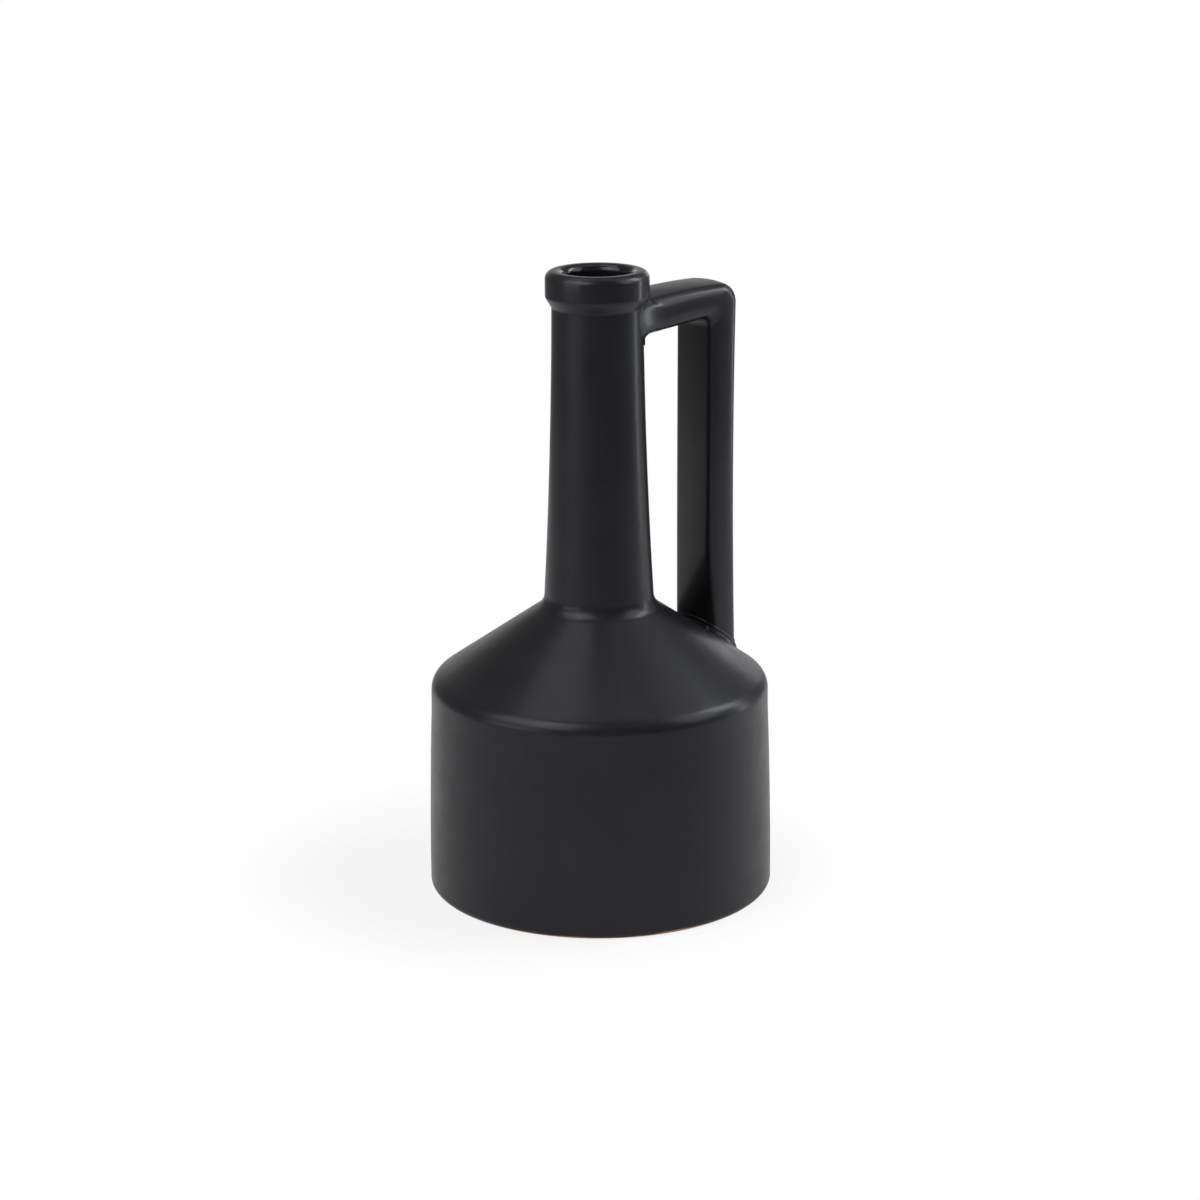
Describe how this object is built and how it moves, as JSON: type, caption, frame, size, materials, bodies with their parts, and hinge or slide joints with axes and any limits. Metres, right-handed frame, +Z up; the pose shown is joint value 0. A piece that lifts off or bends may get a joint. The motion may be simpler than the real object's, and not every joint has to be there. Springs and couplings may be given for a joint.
{
  "type": "jug vase",
  "caption": "Tall-necked stoneware jug vase with a wide round body, a rolled collar and a squared strap handle.",
  "frame": {"origin": "middle of the foot, on the surface that the vase stands on", "axes": "+Z up through the mouth, +X from the axis towards the handle"},
  "size_m": [0.154, 0.154, 0.279],
  "materials": {
    "matte_glaze": "matte to satin black glaze",
    "bare_clay": "unglazed fired stoneware",
    "slip": "fired slip under black glaze",
    "liner_glaze": "glossy black glaze"
  },
  "bodies": {
    "root": {"base_disc": "bare_clay", "base_lute": "slip", "body_wall": "matte_glaze", "shoulder_lute": "slip", "shoulder": "matte_glaze", "neck_lute": "slip", "neck": "matte_glaze", "collar_lute": "slip", "rim_collar": "matte_glaze", "handle": "matte_glaze", "handle_neck_lute": "slip", "handle_foot_lute": "slip", "liner_glaze": "liner_glaze"}
  },
  "joints": []
}
